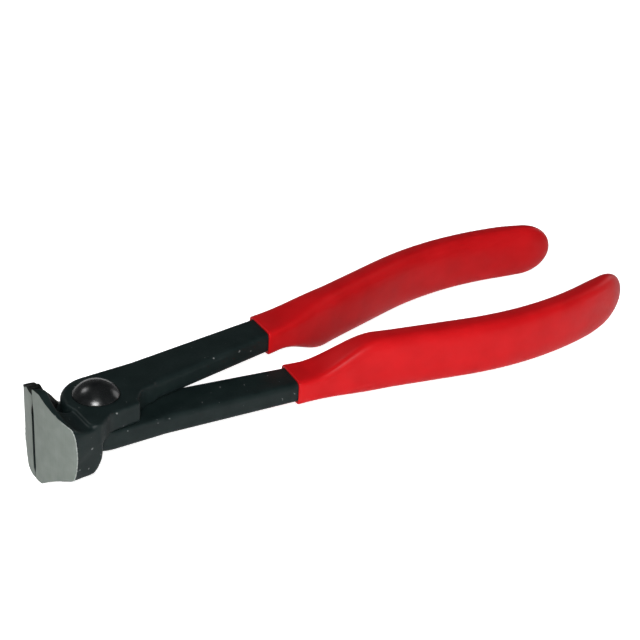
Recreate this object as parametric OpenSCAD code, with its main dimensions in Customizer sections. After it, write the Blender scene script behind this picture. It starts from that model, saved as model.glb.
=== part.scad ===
// End cutting nippers: two forged levers crossing on a lap joint, one rivet and two dipped grips.
// Millimetres. The pivot axis is parallel to Z and the handles point along +X.
// The origin is the centre of the bounding box, on the long axis of the tool.

/* [Overall] */
// Length from the cutting edges to the tips of the grips
length = 160; // [150:1:190]
// Distance from the cutting edges to the pivot axis
jaw_reach = 15.4; // [15:0.1:17]
// Height of the head along the cutting edges
head_h = 23.9; // [21.5:0.2:26.5]
// Offset of the head's middle below the lap plane
head_drop = 0.2; // [0:0.05:0.4]

/* [Jaws] */
// Radius of the ground front faces seen from above
face_r = 30; // [26:1:40]
// Angle of each ground face to the head's cross direction at the cutting edge
face_lead = 5; // [4:0.5:9]
// Gap between the two cutting edges when the tool is closed
edge_gap = 0.4; // [0.3:0.05:0.8]
// Angle of the relief behind each cutting edge
relief_deg = 25; // [20:1:30]
// Depth of the relief behind each cutting edge
relief_len = 5.2; // [4:0.1:5.5]
// Half breadth of the flat on top of the near jaw
crown_half = 2.8; // [2:0.1:4]
// Half breadth of the flat under the near jaw
under_half = 2.6; // [1.6:0.1:3]
// Half breadth of the flat on top of the far jaw
over_half = 0.9; // [0.6:0.1:1.6]
// Half breadth of the flat under the far jaw
base_half = 5.2; // [4:0.1:6]
// Drop of the near jaw's top below the far jaw's
crown_drop = 0.45; // [0.2:0.05:0.6]
// Distance of the plate-side outer corners from the lap plane
corner_h = 6.4; // [6:0.1:7]
// Distance of the near jaw's lower corner from the lap plane
under_corner = 6.9; // [6.6:0.1:7.2]
// Distance of the far jaw's upper corner from the lap plane
over_corner = 4.9; // [4.6:0.1:5.4]
// Hollow of the slopes between a flat and an outer corner
slope_dip = 0.4; // [0.2:0.1:0.6]
// Bulge of the outer sides between the outer corners
side_bulge = 1.1; // [0.6:0.1:1.2]
// Length of the flat on top of the head
crown_len = 2.6; // [2.3:0.1:3]
// Radius of the scoop between the head and the plate
scoop_r = 5.6; // [5:0.1:6]
// Drop of the scoop's floor below the top of the plate
scoop_drop = 0.7; // [0.4:0.1:1]
// Half breadth of the head at the outer corners
corner_half = 11.8; // [11.2:0.1:12]
// Half breadth of the head behind the scoop
heel_half = 11.3; // [11:0.1:11.6]
// Radius of the rounded heel under the near jaw
heel_r = 5.3; // [4.5:0.1:5.6]
// Depth of the heel under the near jaw
heel_h = 7.8; // [7.2:0.1:8.2]
// Distance from the pivot to the rear end of the near jaw's heel
heel_back = 3.9; // [3.4:0.1:4.4]
// Distance from the pivot to the foot of the cove behind the far jaw
cove_back = 5; // [4.6:0.1:5.4]
// Hollow of the cove behind the far jaw
cove_dip = 0.9; // [0.5:0.1:1.1]

// Half breadth of the lap face beside the far jaw
lap_half = 8.6; // [8.4:0.1:8.8]
// Slope of the far jaw's root outside the lap face
lap_fall = 35; // [30:1:40]

/* [Joint] */
// Thickness of each lever at the joint and along the tang
plate_t = 5.2; // [4.6:0.1:6]
// Distance from the pivot to the plate's front edge
plate_front = 6.8; // [6.6:0.1:7]
// Radius of the plate's near front corner
plate_corner = 1.8; // [1.6:0.1:2]
// Radius of the hollow in the plate's near side
waist_r = 4.3; // [4:0.1:4.6]
// Distance of the plate's near side from the long axis at that hollow
waist_half = 8.3; // [8.1:0.1:8.5]
// Radius of the round boss
boss_r = 8.2; // [7.8:0.1:8.6]
// Distance of the boss's middle behind the pivot
boss_x = 0.45; // [0.2:0.05:0.6]
// Distance of the boss's middle to the outer side of the pivot
boss_y = 0.4; // [0.2:0.05:0.6]
// Gap between the two lap faces
lap_gap = 0.06; // [0.04:0.01:0.1]
// Gap between a boss and the other lever's jaw
boss_gap = 0.25; // [0.2:0.05:0.4]
// Radius of the concave shoulder behind the plate
shoulder_r = 5.6; // [5:0.1:6]
// Distance from the pivot to the back of the shoulder
shoulder_x = 12.6; // [12:0.1:13.2]

/* [Rivet] */
// Diameter of the rivet's shank
rivet_d = 7.2; // [6:0.1:8]
// Diameter of the rivet's domed heads
rivet_head_d = 11; // [9.6:0.1:12]
// Height of the rivet's domed heads
rivet_head_h = 3; // [2.4:0.1:3.6]
// Running clearance between shank and turning lever, on the radius
rivet_gap = 0.05; // [0.03:0.01:0.08]

/* [Tangs] */
// Distance from the pivot to the start of the straight tang
tang_x = 14; // [13.5:0.1:15]
// Distance of the tang's middle from the long axis at its start
tang_y = 3.3; // [3:0.1:3.6]
// Width of the tang at its start
neck_w = 11.2; // [10.6:0.1:12]
// Width of the tang at the rim of the grip
tang_w = 8.9; // [8.4:0.1:9.4]
// Thickness of the grip's sides over the tang's rear part
core_wall = 0.9; // [0.7:0.1:1]
// Distance of the tang's end from the tip of the grip
core_back = 11; // [10:0.5:16]
// Chamfer along the tang's edges
tang_edge = 0.8; // [0.4:0.1:1]

/* [Handle run] */
// Angle of the tang to the long axis
tang_deg = 7.5; // [6:0.5:8]
// Length of the straight tang
tang_run = 34; // [30:1:38]
// Angle of the grip's straight stretch to the long axis
flare_deg = 13.4; // [12:0.2:15]
// Length of the bend between tang and straight stretch
flare_run = 12; // [8:1:14]
// Angle of the grip's end stretch back to the long axis
close_deg = 16; // [13:0.5:18]
// Length of the bow between straight stretch and end stretch
bow_run = 46; // [42:1:50]
// Length of the straight end stretch
end_run = 9; // [8.5:0.5:11]

/* [Grips] */
// Distance of the grip's rim from the start of the tang
rim_run = 33; // [30:0.5:36]
// Width of the grip at its rim
rim_w = 9.9; // [9.8:0.1:10.6]
// Height of the grip at its rim
rim_t = 6.4; // [6.2:0.1:7]
// Width of the grip behind its swell
mid_w = 7.6; // [7.4:0.1:9]
// Distance from the rim at which the grip has that width
mid_run = 28; // [24:1:34]
// Width of the grip at its end
grip_w = 6.4; // [6.2:0.1:7.4]
// Height of the grip behind its swell
grip_t = 14.3; // [13:0.1:15]
// Distance from the rim at which the swell starts
swell_from = 3.2; // [2:0.1:5]
// Length of the swell, over which the grip gains its height
swell_run = 18.4; // [16:0.1:24]
// Length of the rounded tip
tip_run = 8.5; // [7:0.5:10]
// Length over which the grip's section turns round before its end
turn_run = 12; // [8:0.5:16]
// Distance from the tip at which the section is fully round
turn_end = 4; // [3:0.5:5]

/* [Hidden] */
$fn = 96;
far = 40;
pivot_x = jaw_reach - length / 2;
lap = lap_gap / 2;
tang_root = tang_edge;
head_high = head_h / 2 - head_drop;
head_low = head_h / 2 + head_drop;
relief_y = -edge_gap / 2 - relief_len * tan(relief_deg);
face_x = face_r * cos(face_lead) - jaw_reach;
face_y = face_r * sin(face_lead) - edge_gap / 2;
crown_x = -jaw_reach + crown_len;
scoop_x = crown_x + scoop_r;
free_r = boss_r + norm([boss_x, boss_y]) + boss_gap;
shank_r = rivet_d / 2;
head_ball = (pow(rivet_head_d / 2, 2) + pow(rivet_head_h, 2)) / (2 * rivet_head_h);
turn_1 = flare_deg - tang_deg;
turn_2 = -close_deg - flare_deg;
bend_r = flare_run * 180 / PI / turn_1;
bow_r = bow_run * 180 / PI / turn_2;
run_x = tang_run * cos(tang_deg) + bend_r * (sin(flare_deg) - sin(tang_deg))
  + bow_r * (sin(-close_deg) - sin(flare_deg)) + end_run * cos(close_deg);
straight_run = (length - jaw_reach - tang_x - run_x) / cos(flare_deg);
turn_at = [tang_run, tang_run + flare_run, tang_run + flare_run + straight_run,
  tang_run + flare_run + straight_run + bow_run];
run_len = turn_at[3] + end_run;
grip_len = run_len - rim_run;
rim_wall = (rim_w - tang_w) / 2;
box_power = 7;
round_power = 3.2;
tip_power = 2;
ring_n = 40;
grip_steps = 34;
core_steps = 18;
tip_steps = 9;
arc_n = 24;
bow_n = 10;

// Heading of the handle's middle line at a distance along it
function heading(q) = q < turn_at[0] ? tang_deg
  : q < turn_at[1] ? tang_deg + turn_1 * (q - turn_at[0]) / flare_run
  : q < turn_at[2] ? flare_deg
  : q < turn_at[3] ? flare_deg + turn_2 * (q - turn_at[2]) / bow_run
  : -close_deg;

// Point after an arc of signed radius r between two headings
function arc_end(p, r, a, b) = p + r * [sin(b) - sin(a), cos(a) - cos(b)];
function line_end(p, l, a) = p + l * [cos(a), sin(a)];

tang_from = [tang_x, tang_y];
mid_1 = line_end(tang_from, tang_run, tang_deg);
mid_2 = arc_end(mid_1, bend_r, tang_deg, flare_deg);
mid_3 = line_end(mid_2, straight_run, flare_deg);
mid_4 = arc_end(mid_3, bow_r, flare_deg, -close_deg);

// Point of the handle's middle line at a distance along it
function middle(q) = q < turn_at[0] ? line_end(tang_from, q, tang_deg)
  : q < turn_at[1] ? arc_end(mid_1, bend_r, tang_deg, heading(q))
  : q < turn_at[2] ? line_end(mid_2, q - turn_at[1], flare_deg)
  : q < turn_at[3] ? arc_end(mid_3, bow_r, flare_deg, heading(q))
  : line_end(mid_4, q - turn_at[3], -close_deg);

// Point beside the middle line, to the left of its heading
function beside(q, d) = middle(q) + d * [-sin(heading(q)), cos(heading(q))];

function core_half(q) = q < rim_run
  ? (neck_w + (tang_w - neck_w) * q / rim_run) / 2
  : grip_width(q - rim_run) / 2 - skin(q - rim_run);

function ease(u) = u * u * (3 - 2 * u);
function swell(s) = ease(max(0, min((s - swell_from) / swell_run, 1)));

function grip_width(s) = s < mid_run ? rim_w + (mid_w - rim_w) * ease(s / mid_run)
  : mid_w + (grip_w - mid_w) * ease((s - mid_run) / (grip_len - mid_run));
function grip_height(s) = rim_t + (grip_t - rim_t) * swell(s);
function grip_level(s) = plate_t / 2 * (1 - swell(s));
// Thickness of the grip's sides over the tang
function skin(s) = rim_wall + (core_wall - rim_wall) * min(s / mid_run, 1);
function tip_turn(s) = ease(max(0, min((s - grip_len + turn_end) / turn_run + 1, 1)));
// Exponent of the grip's section: boxy at the rim, rounder behind it, an ellipse at the tip
function grip_power(s) = round_power + (box_power - round_power) * pow(1 - min(s / mid_run, 1), 2)
  + (tip_power - round_power) * tip_turn(s);

function lobe(v, n) = sign(v) * pow(abs(v), 2 / n);
function grip_ring(s, k) = [for (i = [0:ring_n - 1])
  let (a = 360 * i / ring_n, n = grip_power(s))
  let (p = beside(rim_run + s, k * grip_width(s) / 2 * lobe(cos(a), n)))
  [p[0], p[1], grip_level(s) + k * grip_height(s) / 2 * lobe(sin(a), n)]];

body_len = grip_len - tip_run;
grip_rings = concat(
  [for (i = [0:grip_steps]) grip_ring(body_len * i / grip_steps, 1)],
  [for (i = [1:tip_steps]) let (a = 88 * i / tip_steps) grip_ring(body_len + tip_run * sin(a), cos(a))]);

module loft(rings) {
  m = len(rings);
  n = len(rings[0]);
  pts = [for (r = rings) for (p = r) p];
  start = [[for (i = [0:n - 1]) i]];
  finish = [[for (i = [n - 1:-1:0]) (m - 1) * n + i]];
  sides = [for (j = [0:m - 2]) for (i = [0:n - 1])
    let (a = j * n + i, b = j * n + (i + 1) % n)
    each [[a, a + n, b], [b, a + n, b + n]]];
  polyhedron(pts, concat(start, finish, sides));
}

// A long square bar set cornerwise along an edge, to cut its chamfer
module edge_cut(a, b, z) {
  d = b - a;
  side = tang_edge * sqrt(2);
  over = 1;
  translate([a[0], a[1], z])
    rotate([0, 0, atan2(d[1], d[0])])
      rotate([45, 0, 0])
        translate([-over, -side / 2, -side / 2])
          cube([norm(d) + 2 * over, side, side]);
}

// Chamfer round the free front of the boss
module boss_cut() {
  translate([boss_x, boss_y])
    rotate([0, 0, 90])
      rotate_extrude(angle = 92)
        polygon([[boss_r - tang_edge, plate_t], [boss_r + 1, plate_t - tang_edge - 1],
          [boss_r + 1, plate_t + 1], [boss_r - tang_edge, plate_t + 1]]);
}

// Outline of the tang, its front end let into the plate
module tang_plan() {
  steps = [for (i = [0:core_steps]) rim_run + (grip_len - core_back) * i / core_steps];
  neck = neck_w / 2;
  root = neck - tang_root;
  outer = concat([beside(-tang_root, root), beside(0, neck)], [for (q = steps) beside(q, core_half(q))]);
  inner = concat([beside(-tang_root, -root), beside(0, -neck)], [for (q = steps) beside(q, -core_half(q))]);
  n = len(inner);
  polygon(concat(outer, [for (i = [n - 1:-1:0]) inner[i]]));
}

module tang() {
  difference() {
    translate([0, 0, lap])
      linear_extrude(plate_t - lap)
        tang_plan();
    tang_edges();
  }
}

// Chamfers along both sides of the tang and on along the plate's straight outer side
module tang_edges() {
  run_out = 3;
  for (z = [lap, plate_t]) {
    edge_cut(beside(0, neck_w / 2), beside(rim_run + run_out, core_half(rim_run + run_out)), z);
    edge_cut(beside(0, -neck_w / 2), beside(rim_run + run_out, -core_half(rim_run + run_out)), z);
  }
  edge_cut([boss_x, boss_y + boss_r], beside(0, neck_w / 2), plate_t);
}

// Points of an arc about a centre, from one angle to another
function arc(c, r, from, to) = [for (i = [0:bow_n]) let (a = from + (to - from) * i / bow_n)
  c + r * [cos(a), sin(a)]];

// Points after a, on a shallow bow to b that stands d to the right of the straight line
function bow(a, b, d) = let (side = [b[1] - a[1], a[0] - b[0]] / norm(b - a))
  [for (i = [1:bow_n]) let (u = i / bow_n) a + (b - a) * u + side * d * 4 * u * (1 - u)];

module plate_plan() {
  inner_end = beside(0, -neck_w / 2);
  outer_end = beside(0, neck_w / 2);
  shoulder_y = inner_end[1] - 0.45;
  side_end = waist_half - 0.5;
  corner = [plate_corner - plate_front, plate_corner - heel_half];
  waist = [1.1, -waist_half - waist_r];
  translate([boss_x, boss_y])
    circle(boss_r);
  difference() {
    polygon(concat([[-plate_front, 0]], arc(corner, plate_corner, 180, 305), arc(waist, waist_r, 125, 90),
      [[7.2, -side_end], [shoulder_x, -side_end], [shoulder_x, shoulder_y], inner_end, outer_end,
        [boss_x, boss_y + boss_r], [boss_x, 0]]));
    translate([shoulder_x, shoulder_y - shoulder_r])
      circle(shoulder_r);
  }
}

// Jaw seen from above, with the ground face as an arc
module jaw_plan() {
  slope = (corner_half + side_bulge - heel_half) / 6;
  intersection() {
    translate([face_x, face_y])
      circle(face_r, $fn = 240);
    polygon([[-far, -edge_gap / 2], [-jaw_reach, -edge_gap / 2], [-jaw_reach + relief_len, relief_y],
      [0, relief_y], [-heel_back, -heel_half + slope * (5.5 - heel_back)],
      [-far, -heel_half - slope * (far - 5.5)]]);
  }
}

// Rounded heel on a jaw's free side, seen from the side
function heel_line() = let (x = -heel_back - heel_r, z = heel_r - heel_h)
  [for (i = [0:arc_n]) let (a = -90 * i / arc_n) [x + heel_r * cos(a), z + heel_r * sin(a)]];

// Hollow cove on a jaw's free side, seen from the side
function cove_line(low) = concat([[-cove_back, 0]], bow([-cove_back, 0], [crown_x, low], cove_dip));

// Jaw seen from the side: scoop above the plate, heel or cove on the free side
module jaw_side(free_line, high, low) {
  floor_z = plate_t - scoop_drop;
  polygon(concat(
    [[-far, high], [crown_x, high]],
    arc([scoop_x, floor_z + scoop_r], scoop_r, 180, 270),
    [[-heel_back, floor_z]],
    free_line,
    [[crown_x, low], [-far, low]]));
}

// Jaw seen from the front: a flat at either end, hollow slopes and a bulging side
module jaw_front(plate_half, free_half, free_corner, high, low) {
  upper = [-corner_half, corner_h];
  lower = [-corner_half, -free_corner];
  polygon(concat([[1, low], [1, high], [-plate_half, high]], bow([-plate_half, high], upper, -slope_dip),
    bow(upper, lower, side_bulge), bow(lower, [-free_half, low], -slope_dip)));
}

// Round clearance on the jaw's free side for the other lever's boss
module jaw_clearance() {
  rotate_extrude()
    polygon([[0, lap], [free_r, lap], [free_r, -1.8], [free_r + 0.8, -4.8],
      [free_r + 2, -7.6], [free_r + 4, -head_h / 2 - 2], [0, -head_h / 2 - 2]]);
}

module jaw(free_line, plate_half, free_half, free_corner, high, low) {
  difference() {
    intersection() {
      linear_extrude(2 * head_h, center = true)
        jaw_plan();
      rotate([90, 0, 0])
        linear_extrude(far, center = true)
          jaw_side(free_line, high, low);
      rotate([90, 0, 90])
        linear_extrude(far, center = true)
          jaw_front(plate_half, free_half, free_corner, high, low);
    }
    jaw_clearance();
  }
}

// One forging, its plate above the lap plane and its jaw on the near side
module lever(bore_r) {
  difference() {
    union() {
      children();
      translate([0, 0, lap])
        linear_extrude(plate_t - lap)
          plate_plan();
      tang();
    }
    tang_edges();
    boss_cut();
    cylinder(h = far, r = bore_r, center = true);
  }
}

// Slope outside the lap face, behind the cove
module root_cut() {
  translate([-cove_back - 0.6, -lap_half, lap])
    rotate([-lap_fall, 0, 0])
      translate([0, -far, -far])
        cube(far);
}

module grip() {
  difference() {
    loft(grip_rings);
    tang();
  }
}

// Far handle with the near jaw, above the lap plane
module upper_lever() {
  color("#26292a")
    translate([pivot_x, 0, head_drop])
      lever(shank_r + rivet_gap)
        jaw(heel_line(), crown_half, under_half, under_corner, head_high - crown_drop, -head_low);
}

// Near handle with the far jaw, below the lap plane
module lower_lever() {
  color("#222526")
    translate([pivot_x, 0, head_drop])
      rotate([180, 0, 0])
        difference() {
          lever(shank_r)
            jaw(cove_line(-head_high), base_half, over_half, over_corner, head_low, -head_high);
          root_cut();
        }
}

// Shank with a domed head on each side, fast in the lower lever
module pivot_rivet() {
  seat = plate_t + lap_gap;
  color("#17191b")
    translate([pivot_x, 0, head_drop])
      rotate_extrude()
        intersection() {
          union() {
            translate([0, -plate_t])
              square([shank_r, plate_t + seat]);
            intersection() {
              translate([0, seat + rivet_head_h - head_ball])
                circle(head_ball);
              translate([0, seat])
                square(rivet_head_d);
            }
            intersection() {
              translate([0, head_ball - plate_t - rivet_head_h])
                circle(head_ball);
              translate([0, -plate_t - rivet_head_d])
                square(rivet_head_d);
            }
          }
          translate([0, -far])
            square(2 * far);
        }
}

// Dipped sleeve on the far handle
module upper_grip() {
  color("#c8141b")
    translate([pivot_x, 0, head_drop])
      grip();
}

// Dipped sleeve on the near handle
module lower_grip() {
  color("#c8141b")
    translate([pivot_x, 0, head_drop])
      rotate([180, 0, 0])
        grip();
}

upper_lever();
lower_lever();
pivot_rivet();
upper_grip();
lower_grip();
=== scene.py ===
import math

import bmesh
import bpy
from mathutils import Matrix, Vector


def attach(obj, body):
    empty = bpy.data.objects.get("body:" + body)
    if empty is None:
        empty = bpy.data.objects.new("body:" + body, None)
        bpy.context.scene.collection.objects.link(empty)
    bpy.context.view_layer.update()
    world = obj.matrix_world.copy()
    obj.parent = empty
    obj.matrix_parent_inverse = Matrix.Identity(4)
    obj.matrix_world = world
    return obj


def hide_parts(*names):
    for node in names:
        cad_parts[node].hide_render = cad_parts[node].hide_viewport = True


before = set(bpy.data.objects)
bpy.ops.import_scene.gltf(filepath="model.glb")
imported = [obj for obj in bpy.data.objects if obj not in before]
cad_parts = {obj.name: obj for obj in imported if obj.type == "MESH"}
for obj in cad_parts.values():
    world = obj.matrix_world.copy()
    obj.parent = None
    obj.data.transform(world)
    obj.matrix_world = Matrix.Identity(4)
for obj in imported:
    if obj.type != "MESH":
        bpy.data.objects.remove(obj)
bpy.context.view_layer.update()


# Lower lever: one drop forging with the far jaw, the lower half of the lap joint and the near tang.
# Tool steel, its edges left round by the die, blackened all over in hot oxide salts; after that the
# cutting face of the jaw is ground to an arc, which lays the bright steel bare.
MM = 0.001
PIVOT_X = -64.6
LAP_Z = 0.2
FACE_R = 30.0
FACE_AXIS = (14.486, 2.415)
STOCK_LEFT = 0.8
WHEEL_ARC = (140.0, 220.0)
WHEEL_BAND = 6.0
WHEEL_HALF = 20.0
JAW_FRONT = PIVOT_X - 11.0
LIP_FRONT = PIVOT_X - 13.5
LIP_CLOSE = 0.85
LIP_REACH = (0.8, 1.8)
LIP_TOP = (5.5, 8.5)
LIP_FOOT = (8.5, 11.0)
LIP_LEVELS = (-11.0, -10.4, -9.7, -9.0, -8.5, 5.5, 6.4, 7.0, 7.6, 8.5, 9.8)
# Height in mm above which the far jaw's ground face is painted black oxide, as painted shade.
SHADED_CREST_FROM = 9.8
# Height in mm above which the far jaw's oxide takes the low-reflecting copy, as painted shade.
SHADED_FROM = 1.0
STUB_END = (54.6, 8.9)
STUB_TURN = 9.0
SCALE_VOXEL = 0.28
DIE_ROUNDING = 18
FACES_KEPT = 0.16
BURR_R = 0.15
BURR_STEP = 0.3
BURR_SIDES = 6
BURR_FROM = 9.0
OXIDE_SLOT, BURR_SLOT, SHADED_SLOT = 0, 2, 3


def grain_group():
    """A shader group: a mottle that follows the piece, as a mask from 0 to 1."""
    group = bpy.data.node_groups.new("surface_grain", "ShaderNodeTree")
    sockets = group.interface
    sockets.new_socket("Scale", in_out="INPUT", socket_type="NodeSocketFloat")
    sockets.new_socket("Detail", in_out="INPUT", socket_type="NodeSocketFloat")
    sockets.new_socket("Stretch", in_out="INPUT", socket_type="NodeSocketVector")
    sockets.new_socket("Mask", in_out="OUTPUT", socket_type="NodeSocketFloat")
    nodes, links = group.nodes, group.links
    given = nodes.new("NodeGroupInput")
    place = nodes.new("ShaderNodeTexCoord")
    pull = nodes.new("ShaderNodeVectorMath")
    pull.operation = "MULTIPLY"
    noise = nodes.new("ShaderNodeTexNoise")
    result = nodes.new("NodeGroupOutput")
    links.new(place.outputs["Object"], pull.inputs[0])
    links.new(given.outputs["Stretch"], pull.inputs[1])
    links.new(pull.outputs["Vector"], noise.inputs["Vector"])
    links.new(given.outputs["Scale"], noise.inputs["Scale"])
    links.new(given.outputs["Detail"], noise.inputs["Detail"])
    links.new(noise.outputs["Fac"], result.inputs["Mask"])
    return group


GRAIN = grain_group()


def add_grain(material, scale, detail, stretch=(1.0, 1.0, 1.0)):
    """Places the grain group in a material and gives its mask."""
    node = material.node_tree.nodes.new("ShaderNodeGroup")
    node.node_tree = GRAIN
    node.inputs["Scale"].default_value = scale
    node.inputs["Detail"].default_value = detail
    node.inputs["Stretch"].default_value = stretch
    return node.outputs["Mask"]


def spread(material, mask, low, high, start=0.3, end=0.7):
    """A mask taken from start..end to low..high."""
    node = material.node_tree.nodes.new("ShaderNodeMapRange")
    node.inputs["From Min"].default_value = start
    node.inputs["From Max"].default_value = end
    node.inputs["To Min"].default_value = low
    node.inputs["To Max"].default_value = high
    material.node_tree.links.new(mask, node.inputs["Value"])
    return node.outputs["Result"]


def between(material, mask, first, second):
    """A colour from first to second, by a mask."""
    node = material.node_tree.nodes.new("ShaderNodeMix")
    node.data_type = "RGBA"
    sockets = {socket.identifier: socket for socket in (*node.inputs, *node.outputs)}
    sockets["A_Color"].default_value = (*first, 1.0)
    sockets["B_Color"].default_value = (*second, 1.0)
    material.node_tree.links.new(mask, sockets["Factor_Float"])
    return sockets["Result_Color"]


def flecked(material, mask, under, colour):
    """A colour laid over another wherever a mask is up."""
    fleck = between(material, mask, colour, colour)
    under_socket = next(socket for socket in fleck.node.inputs if socket.identifier == "A_Color")
    material.node_tree.links.new(under, under_socket)
    return fleck


def pitted(material, mask, depth, strength):
    """A normal from a mask, as pits of the given depth in mm."""
    node = material.node_tree.nodes.new("ShaderNodeBump")
    node.inputs["Strength"].default_value = strength
    node.inputs["Distance"].default_value = depth * MM
    material.node_tree.links.new(mask, node.inputs["Height"])
    return node.outputs["Normal"]


def new_finish(name, metallic, specular):
    """A material with its Principled shader, ready for its nodes."""
    material = bpy.data.materials.new(name)
    material.use_nodes = True
    shader = material.node_tree.nodes["Principled BSDF"]
    shader.inputs["Metallic"].default_value = metallic
    shader.inputs["Specular IOR Level"].default_value = specular
    return material, shader, material.node_tree.links


def black_oxide():
    """Satin black: a thin oxide over the forging's own fine scale, chipped here and there."""
    material, shader, links = new_finish("black_oxide", 0.0, 0.18)
    scale = add_grain(material, 1900.0, 4.0)
    mottle = add_grain(material, 240.0, 3.0)
    black = between(material, spread(material, mottle, 0.0, 1.0), (0.0050, 0.0100, 0.0100),
                    (0.0085, 0.0150, 0.0147))
    chips = spread(material, add_grain(material, 900.0, 1.0), 0.0, 1.0, 0.745, 0.80)
    links.new(flecked(material, chips, black, (0.16, 0.17, 0.17)), shader.inputs["Base Color"])
    links.new(spread(material, scale, 0.36, 0.50), shader.inputs["Roughness"])
    links.new(pitted(material, scale, 0.02, 0.5), shader.inputs["Normal"])
    return material


def ground_steel():
    """Bare steel with the fine upright marks of the grinding belt."""
    material, shader, links = new_finish("ground_steel", 0.55, 0.3)
    marks = add_grain(material, 5200.0, 3.0, (1.0, 1.0, 0.04))
    cloud = add_grain(material, 420.0, 3.0)
    links.new(between(material, spread(material, cloud, 0.0, 1.0), (0.194, 0.220, 0.199),
                      (0.228, 0.256, 0.232)), shader.inputs["Base Color"])
    links.new(spread(material, marks, 0.55, 0.68), shader.inputs["Roughness"])
    links.new(pitted(material, marks, 0.01, 0.35), shader.inputs["Normal"])
    return material


def burr_highlight_steel():
    """The burr at the face's edge: a real rim of steel, coloured lighter than the face as a painted
    highlight.
    """
    material, shader, links = new_finish("burr_highlight_steel", 0.7, 0.5)
    marks = add_grain(material, 2600.0, 2.0)
    links.new(between(material, spread(material, marks, 0.0, 1.0), (0.28, 0.31, 0.29),
                      (0.50, 0.54, 0.51)), shader.inputs["Base Color"])
    links.new(spread(material, marks, 0.30, 0.45), shader.inputs["Roughness"])
    return material


def shaded_oxide():
    """The far jaw's crest and hollow: a low-reflecting copy of the black oxide, painted shade that
    keeps them black.
    """
    material, shader, links = new_finish("shaded_oxide", 0.0, 0.03)
    mottle = add_grain(material, 240.0, 3.0)
    links.new(between(material, spread(material, mottle, 0.0, 1.0), (0.0075, 0.0088, 0.0080),
                      (0.0110, 0.0128, 0.0118)), shader.inputs["Base Color"])
    shader.inputs["Roughness"].default_value = 0.75
    return material


OXIDE = black_oxide()
BARE_STEEL = ground_steel()
BURR_HIGHLIGHT_STEEL = burr_highlight_steel()
# The low-reflecting copy of the oxide for the far jaw: painted shade.
SHADED_OXIDE = shaded_oxide()


def new_piece(name, mesh, *materials):
    """A shown piece with its materials, faces shaded smooth."""
    for material in materials:
        mesh.materials.append(material)
    mesh.shade_smooth()
    piece = bpy.data.objects.new(name, mesh)
    bpy.context.scene.collection.objects.link(piece)
    return piece


def grinding_wheel(side):
    """The stock in front of the cutting face: an upright band outside the face's arc."""
    centre = Vector((PIVOT_X + FACE_AXIS[0], side * FACE_AXIS[1], 0.0))
    steps = 120
    outline = []
    start, end = WHEEL_ARC
    for radius, order in ((FACE_R, range(steps + 1)), (FACE_R + WHEEL_BAND, range(steps, -1, -1))):
        for i in order:
            turn = math.radians(start + (end - start) * i / steps)
            outline.append(centre + Vector((radius * math.cos(turn), radius * math.sin(turn), 0.0)))
    mesh = bpy.data.meshes.new("wheel")
    bm = bmesh.new()
    low = [bm.verts.new((p.x * MM, p.y * MM, -WHEEL_HALF * MM)) for p in outline]
    high = [bm.verts.new((p.x * MM, p.y * MM, WHEEL_HALF * MM)) for p in outline]
    last = 2 * steps + 1
    for i in range(steps):
        far = last - i
        bm.faces.new((high[i], high[i + 1], high[far - 1], high[far]))
        bm.faces.new((low[i], low[far], low[far - 1], low[i + 1]))
    for i in range(last + 1):
        j = (i + 1) % (last + 1)
        bm.faces.new((low[i], low[j], high[j], high[i]))
    bmesh.ops.recalc_face_normals(bm, faces=bm.faces)
    bm.to_mesh(mesh)
    bm.free()
    return new_piece("wheel", mesh, BARE_STEEL)


def rise(value, start, end):
    """A soft step from 0 at start to 1 at end."""
    u = min(max((value - start) / (end - start), 0.0), 1.0)
    return u * u * (3.0 - 2.0 * u)


def close_lip(x, y, z):
    """Shift in mm of a jaw's lip: the two edges nearly meet at the top and at the bottom."""
    if x > LIP_FRONT:
        return 0.0
    ends = rise(z, *LIP_TOP) + rise(-z, *LIP_FOOT)
    return y * LIP_CLOSE * ends * (1.0 - rise(abs(y), *LIP_REACH))


def raise_burr(bm, side):
    """The thin rim that the belt turns over along the outer edge of the ground face."""
    rim = {tuple(vert.co) for edge in bm.edges if not edge.smooth for vert in edge.verts
           if -side * vert.co.y > BURR_FROM * MM}
    line = []
    for x, y, z in sorted(rim, key=lambda point: point[2]):
        if not line or z - line[-1].z > BURR_STEP * MM:
            line.append(Vector((x, y, z)))
    rings = []
    for i, point in enumerate(line):
        radius = BURR_R * (0.75 + 0.25 * math.sin(2.9 * i)) * MM
        turns = [math.tau * k / BURR_SIDES for k in range(BURR_SIDES)]
        rings.append([bm.verts.new(point + radius * Vector((math.cos(turn), math.sin(turn), 0.0)))
                      for turn in turns])
    skin = [bm.faces.new(rings[0][::-1]), bm.faces.new(rings[-1])]
    for first, second in zip(rings, rings[1:]):
        for i in range(BURR_SIDES):
            j = (i + 1) % BURR_SIDES
            skin.append(bm.faces.new((first[i], first[j], second[j], second[i])))
    # The burr's tube is real geometry; its lighter steel paints a highlight line along the edge.
    for face in skin:
        face.material_index = BURR_SLOT


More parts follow.
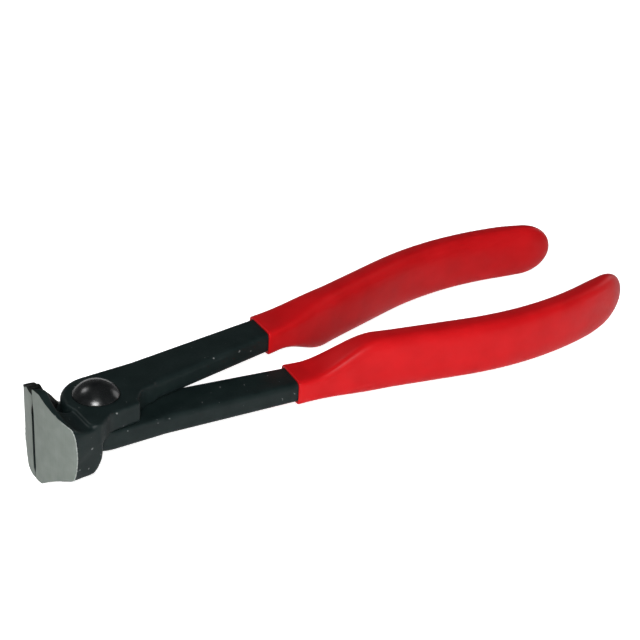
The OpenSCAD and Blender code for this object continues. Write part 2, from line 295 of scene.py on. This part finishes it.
def raw_forging(name, node, side):
    """The lever's solid without the tang's hidden end, with stock left on the cutting face."""
    mesh = bpy.data.meshes.new(name)
    bm = bmesh.new()
    bm.from_mesh(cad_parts[node].data)
    bmesh.ops.remove_doubles(bm, verts=bm.verts, dist=1e-6)
    turn = math.radians(STUB_TURN)
    bmesh.ops.bisect_plane(
        bm, geom=bm.verts[:] + bm.edges[:] + bm.faces[:],
        plane_co=((PIVOT_X + STUB_END[0]) * MM, side * STUB_END[1] * MM, 0.0),
        plane_no=(math.cos(turn), side * math.sin(turn), 0.0), clear_outer=True)
    bmesh.ops.holes_fill(bm, edges=[e for e in bm.edges if e.is_boundary], sides=0)
    axis = Vector(((PIVOT_X + FACE_AXIS[0]) * MM, side * FACE_AXIS[1] * MM))
    for vert in bm.verts:
        reach = Vector((vert.co.x, vert.co.y)) - axis
        if abs(reach.length - FACE_R * MM) < 0.05 * MM and reach.x < 0.0:
            step = reach.normalized() * STOCK_LEFT * MM
            vert.co += Vector((step.x, step.y, 0.0))
    bm.to_mesh(mesh)
    bm.free()
    return mesh


def finish_face(mesh, side):
    """Works on the ground jaw: closes the lips' ends, paints shade on the far jaw's crest and upper
    half, raises the burr.
    """
    bm = bmesh.new()
    bm.from_mesh(mesh)
    for level in LIP_LEVELS:
        front = [face for face in bm.faces if face.calc_center_median().x < JAW_FRONT * MM]
        around = dict.fromkeys(part for face in front for part in (*face.verts, *face.edges))
        bmesh.ops.bisect_plane(bm, geom=[*around, *front], plane_co=(0.0, 0.0, level * MM),
                               plane_no=(0.0, 0.0, 1.0))
    for vert in bm.verts:
        vert.co.y -= close_lip(vert.co.x / MM, vert.co.y / MM, vert.co.z / MM) * MM
    # On the far jaw the ground steel at the crest is set to black oxide: painted shade.
    for face in bm.faces:
        if side < 0.0 and face.calc_center_median().z > SHADED_CREST_FROM * MM:
            face.material_index = OXIDE_SLOT
    for edge in bm.edges:
        if len({face.material_index for face in edge.link_faces}) > 1:
            edge.smooth = False
    # The far jaw's oxide faces above the given height take the low-reflecting copy of the oxide:
    # painted shade.
    for face in bm.faces:
        above = face.calc_center_median().z > SHADED_FROM * MM
        if side < 0.0 and above and face.material_index == OXIDE_SLOT:
            face.material_index = SHADED_SLOT
    raise_burr(bm, side)
    bm.to_mesh(mesh)
    bm.free()
    mesh.materials.append(BURR_HIGHLIGHT_STEEL)
    mesh.materials.append(SHADED_OXIDE)
    mesh.shade_smooth()


def forged_lever(name, node, side):
    """A lever: its solid rounded by the die, then ground on the cutting face."""
    lever = new_piece(name, raw_forging(name, node, side), OXIDE, BARE_STEEL)
    wheel = grinding_wheel(side)
    remesh = lever.modifiers.new("scale", "REMESH")
    remesh.mode = "VOXEL"
    remesh.voxel_size = SCALE_VOXEL * MM
    smooth = lever.modifiers.new("die_rounding", "SMOOTH")
    smooth.iterations = DIE_ROUNDING
    thin = lever.modifiers.new("thin", "DECIMATE")
    thin.ratio = FACES_KEPT
    grind = lever.modifiers.new("grind", "BOOLEAN")
    grind.operation = "DIFFERENCE"
    grind.solver = "EXACT"
    grind.material_mode = "TRANSFER"
    grind.object = wheel
    view = bpy.context.evaluated_depsgraph_get()
    made = bpy.data.meshes.new_from_object(lever.evaluated_get(view))
    lever.modifiers.clear()
    lever.data = made
    bpy.data.objects.remove(wheel)
    finish_face(made, side)
    return lever


lower_forging = forged_lever("lower_forging", "lower_lever", -1.0)
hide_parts("lower_lever")
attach(lower_forging, "lower_half")


# Pivot rivet: a steel pin closed by a press into a low dome on each side of the lap joint.
# The dome is polished by the snap tool and blackened, so it is the glossiest part of the head.
HEAD_D = 11.0
HEAD_H = 3.0
SHANK_D = 7.2
SEATS = (5.26 + LAP_Z, -5.2 + LAP_Z)
RIM_FOOT = ((0.22, 0.0), (0.06, 0.05))
DOME_STEPS = 24
DOME_EASE = 0.985
RIVET_SIDES = 72


def black_gloss():
    """The pressed rivet head: a smooth, glossy black with faint marks of the snap tool."""
    material, shader, links = new_finish("black_gloss", 0.0, 0.48)
    mottle = add_grain(material, 700.0, 3.0)
    links.new(between(material, spread(material, mottle, 0.0, 1.0), (0.006, 0.0068, 0.0072),
                      (0.010, 0.011, 0.0112)), shader.inputs["Base Color"])
    links.new(spread(material, mottle, 0.20, 0.27), shader.inputs["Roughness"])
    links.new(pitted(material, mottle, 0.02, 0.12), shader.inputs["Normal"])
    return material


def dome_line(seat, way):
    """Half section of a head from its rim to its pole, as (radius, z) points in mm."""
    ball = (HEAD_H ** 2 + (HEAD_D / 2) ** 2) / (2 * HEAD_H)
    line = [(HEAD_D / 2 - inset, seat + way * lift) for inset, lift in RIM_FOOT]
    start = math.asin((HEAD_D / 2) / ball)
    for i in range(1, DOME_STEPS + 1):
        turn = start * (1 - i / DOME_STEPS) * DOME_EASE
        line.append((ball * math.sin(turn), seat + way * (ball * math.cos(turn) - ball + HEAD_H)))
    return line


def turned(name, line, steps, material):
    """A piece turned about the pivot from its half section."""
    bm = bmesh.new()
    rings = []
    for radius, z in line:
        if radius < 1e-6:
            rings.append([bm.verts.new((PIVOT_X * MM, 0.0, z * MM))])
            continue
        rings.append([bm.verts.new((
            (PIVOT_X + radius * math.cos(math.tau * i / steps)) * MM,
            radius * math.sin(math.tau * i / steps) * MM, z * MM)) for i in range(steps)])
    for first, second in zip(rings, rings[1:]):
        for i in range(steps):
            j = (i + 1) % steps
            corners = [first[i % len(first)], first[j % len(first)],
                       second[j % len(second)], second[i % len(second)]]
            bm.faces.new(list(dict.fromkeys(corners)))
    bmesh.ops.recalc_face_normals(bm, faces=bm.faces)
    mesh = bpy.data.meshes.new(name)
    bm.to_mesh(mesh)
    bm.free()
    return new_piece(name, mesh, material)


top_dome = dome_line(SEATS[0], 1.0)
low_dome = dome_line(SEATS[1], -1.0)
rivet_line = top_dome[::-1] + [(SHANK_D / 2, SEATS[0]), (SHANK_D / 2, SEATS[1])] + low_dome
rivet = turned("rivet", rivet_line, RIVET_SIDES, black_gloss())
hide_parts("pivot_rivet")
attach(rivet, "lower_half")


# Upper lever: the other forging, with the near jaw, the upper half of the lap joint and the far tang.
# The same blackened steel; the rivet's dome sits on its flat boss, and it turns on the rivet's pin.
upper_forging = forged_lever("upper_forging", "upper_lever", 1.0)
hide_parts("upper_lever")
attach(upper_forging, "upper_half")


# Sleeves: soft red vinyl, square and flat at the rim, then narrow and tall, with a rounded end.
# Each is dip moulded as a closed sock and pushed on warm, so it grips the tang without glue.
TANG_START = (14.0, 3.3)
TANG_DEG = 7.5
FLARE_DEG = 13.4
CLOSE_DEG = 16.0
RUN_LEN = 132.82
TANG_RUN = 34.0
FLARE_RUN = 12.0
BOW_RUN = 46.0
END_RUN = 9.0
TURN_AT = (TANG_RUN, TANG_RUN + FLARE_RUN, RUN_LEN - END_RUN - BOW_RUN, RUN_LEN - END_RUN)
RIM_RUN = 33.0
RIM_ROUND = ((0.0, 0.28), (0.03, 0.14), (0.12, 0.04), (0.28, 0.0))
RETURN_RUNS = (3.0, 0.12)
RETURN_INSET = 0.15
RIM_W = 9.9
RIM_T = 6.4
MID_W = 7.6
MID_RUN = 28.0
GRIP_W = 6.4
GRIP_T = 14.3
SWELL_FROM = 3.2
SWELL_RUN = 18.4
TIP_RUN = 8.5
TIP_SKIN = 0.03
TIP_END = 88.0
FAR_SLANT = 1.8
SLANT_RUN = 12.0
BAR_T = 5.2
TANG_W = 8.9
GRIP_LEN = RUN_LEN - RIM_RUN
BOX_POWER = 7.0
ROUND_POWER = 3.2
TIP_POWER = 2.0
TURN_FROM = GRIP_LEN - 16.0
TURN_TO = GRIP_LEN - 4.0
RING_STEPS = 72
BODY_RINGS = 90
TIP_RINGS = 17


def heading(run):
    """Direction of the handle's middle line at a run from its start, in degrees."""
    if run < TURN_AT[0]:
        return TANG_DEG
    if run < TURN_AT[1]:
        return TANG_DEG + (FLARE_DEG - TANG_DEG) * (run - TURN_AT[0]) / (TURN_AT[1] - TURN_AT[0])
    if run < TURN_AT[2]:
        return FLARE_DEG
    if run < TURN_AT[3]:
        return FLARE_DEG - (CLOSE_DEG + FLARE_DEG) * (run - TURN_AT[2]) / (TURN_AT[3] - TURN_AT[2])
    return -CLOSE_DEG


def handle_middle(run):
    """Point of the handle's middle line at a run from its start, in mm."""
    x, y = TANG_START
    start = 0.0
    for stop in (*TURN_AT, RUN_LEN + 1.0):
        end = min(stop, run)
        if end > start:
            first, last = math.radians(heading(start)), math.radians(heading(end - 1e-9))
            bend = last - first
            if abs(bend) < 1e-6:
                x += (end - start) * math.cos(first)
                y += (end - start) * math.sin(first)
            else:
                radius = (end - start) / bend
                x += radius * (math.sin(last) - math.sin(first))
                y += radius * (math.cos(first) - math.cos(last))
        start = stop
    return x, y


def sleeve_section(s):
    """Half width, half height and level of the sleeve at s mm past its rim."""
    if s < MID_RUN:
        width = RIM_W + (MID_W - RIM_W) * rise(s, 0.0, MID_RUN)
    else:
        width = MID_W + (GRIP_W - MID_W) * rise(s, MID_RUN, GRIP_LEN)
    swell = rise(s, SWELL_FROM, SWELL_FROM + SWELL_RUN)
    height = RIM_T + (GRIP_T - RIM_T) * swell
    return width / 2, height / 2, BAR_T / 2 * (1.0 - swell)


def lobe(value, power):
    """A sine or cosine bent so that the section turns boxy above a power of 2."""
    return math.copysign(abs(value) ** (2.0 / power), value)


def sleeve_ring(s, half_w, half_h, level, side, slant):
    """One ring of the sleeve: boxy at the rim, rounder behind it, an ellipse at the tip."""
    power = (ROUND_POWER + (BOX_POWER - ROUND_POWER) * (1.0 - min(s / MID_RUN, 1.0)) ** 2
             + (TIP_POWER - ROUND_POWER) * rise(s, TURN_FROM, TURN_TO))
    x, y = handle_middle(RIM_RUN + s)
    turn = math.radians(heading(RIM_RUN + s))
    ring = []
    for i in range(RING_STEPS):
        angle = math.tau * i / RING_STEPS
        off = half_w * lobe(math.cos(angle), power)
        late = slant * (0.5 + 0.5 * off / half_w) * rise(-s, -SLANT_RUN, 0.0)
        z = level + half_h * lobe(math.sin(angle), power)
        ring.append(Vector(((PIVOT_X + x + late * math.cos(turn) - off * math.sin(turn)) * MM,
                            side * (y + late * math.sin(turn) + off * math.cos(turn)) * MM,
                            (LAP_Z + side * z) * MM)))
    return ring


def sleeve(name, side, slant, material):
    """A closed sock of rings from the hidden return at the rim to the rounded tip."""
    inner_w, inner_h = TANG_W / 2 - RETURN_INSET, BAR_T / 2 - RETURN_INSET
    rings = [sleeve_ring(s, inner_w, inner_h, BAR_T / 2, side, slant) for s in RETURN_RUNS]
    for s, drop in RIM_ROUND:
        half_w, half_h, level = sleeve_section(s)
        rings.append(sleeve_ring(s, half_w - drop, half_h - drop, level, side, slant))
    body_from, body_to = RIM_ROUND[-1][0], GRIP_LEN - TIP_RUN
    for i in range(1, BODY_RINGS + 1):
        s = body_from + (body_to - body_from) * i / BODY_RINGS
        rings.append(sleeve_ring(s, *sleeve_section(s), side, slant))
    for i in range(1, TIP_RINGS + 1):
        angle = math.radians(TIP_END * i / TIP_RINGS)
        s = body_to + (TIP_RUN - TIP_SKIN) * math.sin(angle)
        half_w, half_h, level = sleeve_section(s)
        shrink = math.cos(angle)
        rings.append(sleeve_ring(s, half_w * shrink, half_h * shrink, level, side, slant))
    bm = bmesh.new()
    made = [[bm.verts.new(point) for point in ring] for ring in rings]
    for first, second in zip(made, made[1:]):
        for i in range(RING_STEPS):
            j = (i + 1) % RING_STEPS
            bm.faces.new((first[i], first[j], second[j], second[i]))
    bm.faces.new(made[-1])
    bm.faces.new(made[0])
    bmesh.ops.recalc_face_normals(bm, faces=bm.faces)
    mesh = bpy.data.meshes.new(name)
    bm.to_mesh(mesh)
    bm.free()
    return new_piece(name, mesh, material)


def red_vinyl():
    """Soft vinyl: deep red, a low even sheen and the faint ripple of a dipped skin."""
    material, shader, links = new_finish("red_vinyl", 0.0, 0.15)
    ripple = add_grain(material, 160.0, 2.0)
    skin = add_grain(material, 1500.0, 3.0)
    links.new(between(material, spread(material, ripple, 0.0, 1.0), (0.44, 0.0044, 0.0064),
                      (0.51, 0.0064, 0.0088)), shader.inputs["Base Color"])
    links.new(spread(material, skin, 0.30, 0.42), shader.inputs["Roughness"])
    links.new(pitted(material, skin, 0.015, 0.25), shader.inputs["Normal"])
    return material


VINYL = red_vinyl()
for name, node, body, side, slant in (("far_sleeve", "upper_grip", "upper_half", 1.0, FAR_SLANT),
                                      ("near_sleeve", "lower_grip", "lower_half", -1.0, 0.0)):
    piece = sleeve(name, side, slant, VINYL)
    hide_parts(node)
    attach(piece, body)


# Table: a plain white sheet that the head and both sleeves rest on.
# It gives back some light of its own, as a lit sheet in a light tent does, so it stays white.
REST_AT = (-78.5, -11.97)
REST_TILT = 1.9


def white_sheet():
    """Matt white, brighter to the camera than it is as a light."""
    material, shader, links = new_finish("white_sheet", 0.0, 0.2)
    weave = add_grain(material, 60.0, 2.0)
    links.new(between(material, spread(material, weave, 0.0, 1.0), (0.90, 0.90, 0.90),
                      (0.92, 0.92, 0.92)), shader.inputs["Base Color"])
    shader.inputs["Roughness"].default_value = 0.9
    shader.inputs["Emission Strength"].default_value = 1.0
    seen = material.node_tree.nodes.new("ShaderNodeLightPath")
    links.new(between(material, seen.outputs["Is Camera Ray"], (0.12, 0.12, 0.12), (0.85, 0.85, 0.85)),
              shader.inputs["Emission Color"])
    return material


table_mesh = bpy.data.meshes.new("table")
bm = bmesh.new()
bmesh.ops.create_grid(bm, x_segments=2, y_segments=2, size=3.0)
bm.to_mesh(table_mesh)
bm.free()
table = new_piece("table", table_mesh, white_sheet())
table.matrix_world = (Matrix.Translation((REST_AT[0] * MM, 0.0, REST_AT[1] * MM))
                      @ Matrix.Rotation(-math.radians(REST_TILT), 4, "Y"))


# Light: a soft box over the camera, a wide low one beside it and two small ones behind the tool,
# which the rivet's dome reflects, in a tent that is dim overhead. The sides that face the camera
# are then lighter than the tops, and the black stays deep.
def soft_box(name, place, aim, size, power):
    """A square lamp of the given size and power, turned to its aim."""
    lamp = bpy.data.lights.new(name, "AREA")
    lamp.shape = "SQUARE"
    lamp.size = size
    lamp.energy = power
    box = bpy.data.objects.new(name, lamp)
    box.location = place
    box.rotation_euler = (Vector(aim) - Vector(place)).to_track_quat("-Z", "Y").to_euler()
    bpy.context.scene.collection.objects.link(box)


TOOL_MIDDLE = (0.0, 0.0, 0.0)
NEAR_RIVET = (-0.06, 0.0, 0.0)
soft_box("key", (-0.34, -0.46, 0.46), TOOL_MIDDLE, 0.26, 5.0)
soft_box("fill", (-0.34, -0.80, 0.14), TOOL_MIDDLE, 0.45, 2.6)
soft_box("left", (-0.42, 0.76, 0.86), NEAR_RIVET, 0.32, 1.9)
soft_box("right", (0.93, 0.08, 0.31), NEAR_RIVET, 0.40, 1.0)

tent = bpy.data.worlds.new("tent")
tent.use_nodes = True
tent_nodes, tent_links = tent.node_tree.nodes, tent.node_tree.links
way_up = tent_nodes.new("ShaderNodeTexCoord")
split = tent_nodes.new("ShaderNodeSeparateXYZ")
ramp = tent_nodes.new("ShaderNodeValToRGB")
ramp.color_ramp.elements[0].position = 0.0
ramp.color_ramp.elements[0].color = (0.20, 0.20, 0.20, 1.0)
ramp.color_ramp.elements[1].position = 0.55
ramp.color_ramp.elements[1].color = (0.025, 0.027, 0.029, 1.0)
tent_links.new(way_up.outputs["Generated"], split.inputs["Vector"])
tent_links.new(split.outputs["Z"], ramp.inputs["Fac"])
tent_links.new(ramp.outputs["Color"], tent_nodes["Background"].inputs["Color"])
bpy.context.scene.world = tent
bpy.context.scene.view_settings.view_transform = "Standard"


# Camera: above the near jaw and left of it, a long lens close to the tool, turned a little on its axis.
# Its place comes from the outline of both handles and the rivet in the picture.
EYE = (-0.204561, -0.279781, 0.204608)
CAMERA_AZ = math.radians(-35.519)
CAMERA_EL = math.radians(29.812)
CAMERA_ROLL = math.radians(3.282)
back = Vector((math.sin(CAMERA_AZ) * math.cos(CAMERA_EL),
               -math.cos(CAMERA_AZ) * math.cos(CAMERA_EL), math.sin(CAMERA_EL)))
right = Vector((math.cos(CAMERA_AZ), math.sin(CAMERA_AZ), 0.0))
up = back.cross(right)
across = math.cos(CAMERA_ROLL) * right + math.sin(CAMERA_ROLL) * up
upright = math.cos(CAMERA_ROLL) * up - math.sin(CAMERA_ROLL) * right
lens = bpy.data.cameras.new("camera")
lens.sensor_width = 36.0
lens.lens = 93.165
lens.clip_start = 0.01
camera = bpy.data.objects.new("camera", lens)
camera.matrix_world = Matrix.Translation(EYE) @ Matrix((across, upright, back)).transposed().to_4x4()
bpy.context.scene.collection.objects.link(camera)
bpy.context.scene.camera = camera
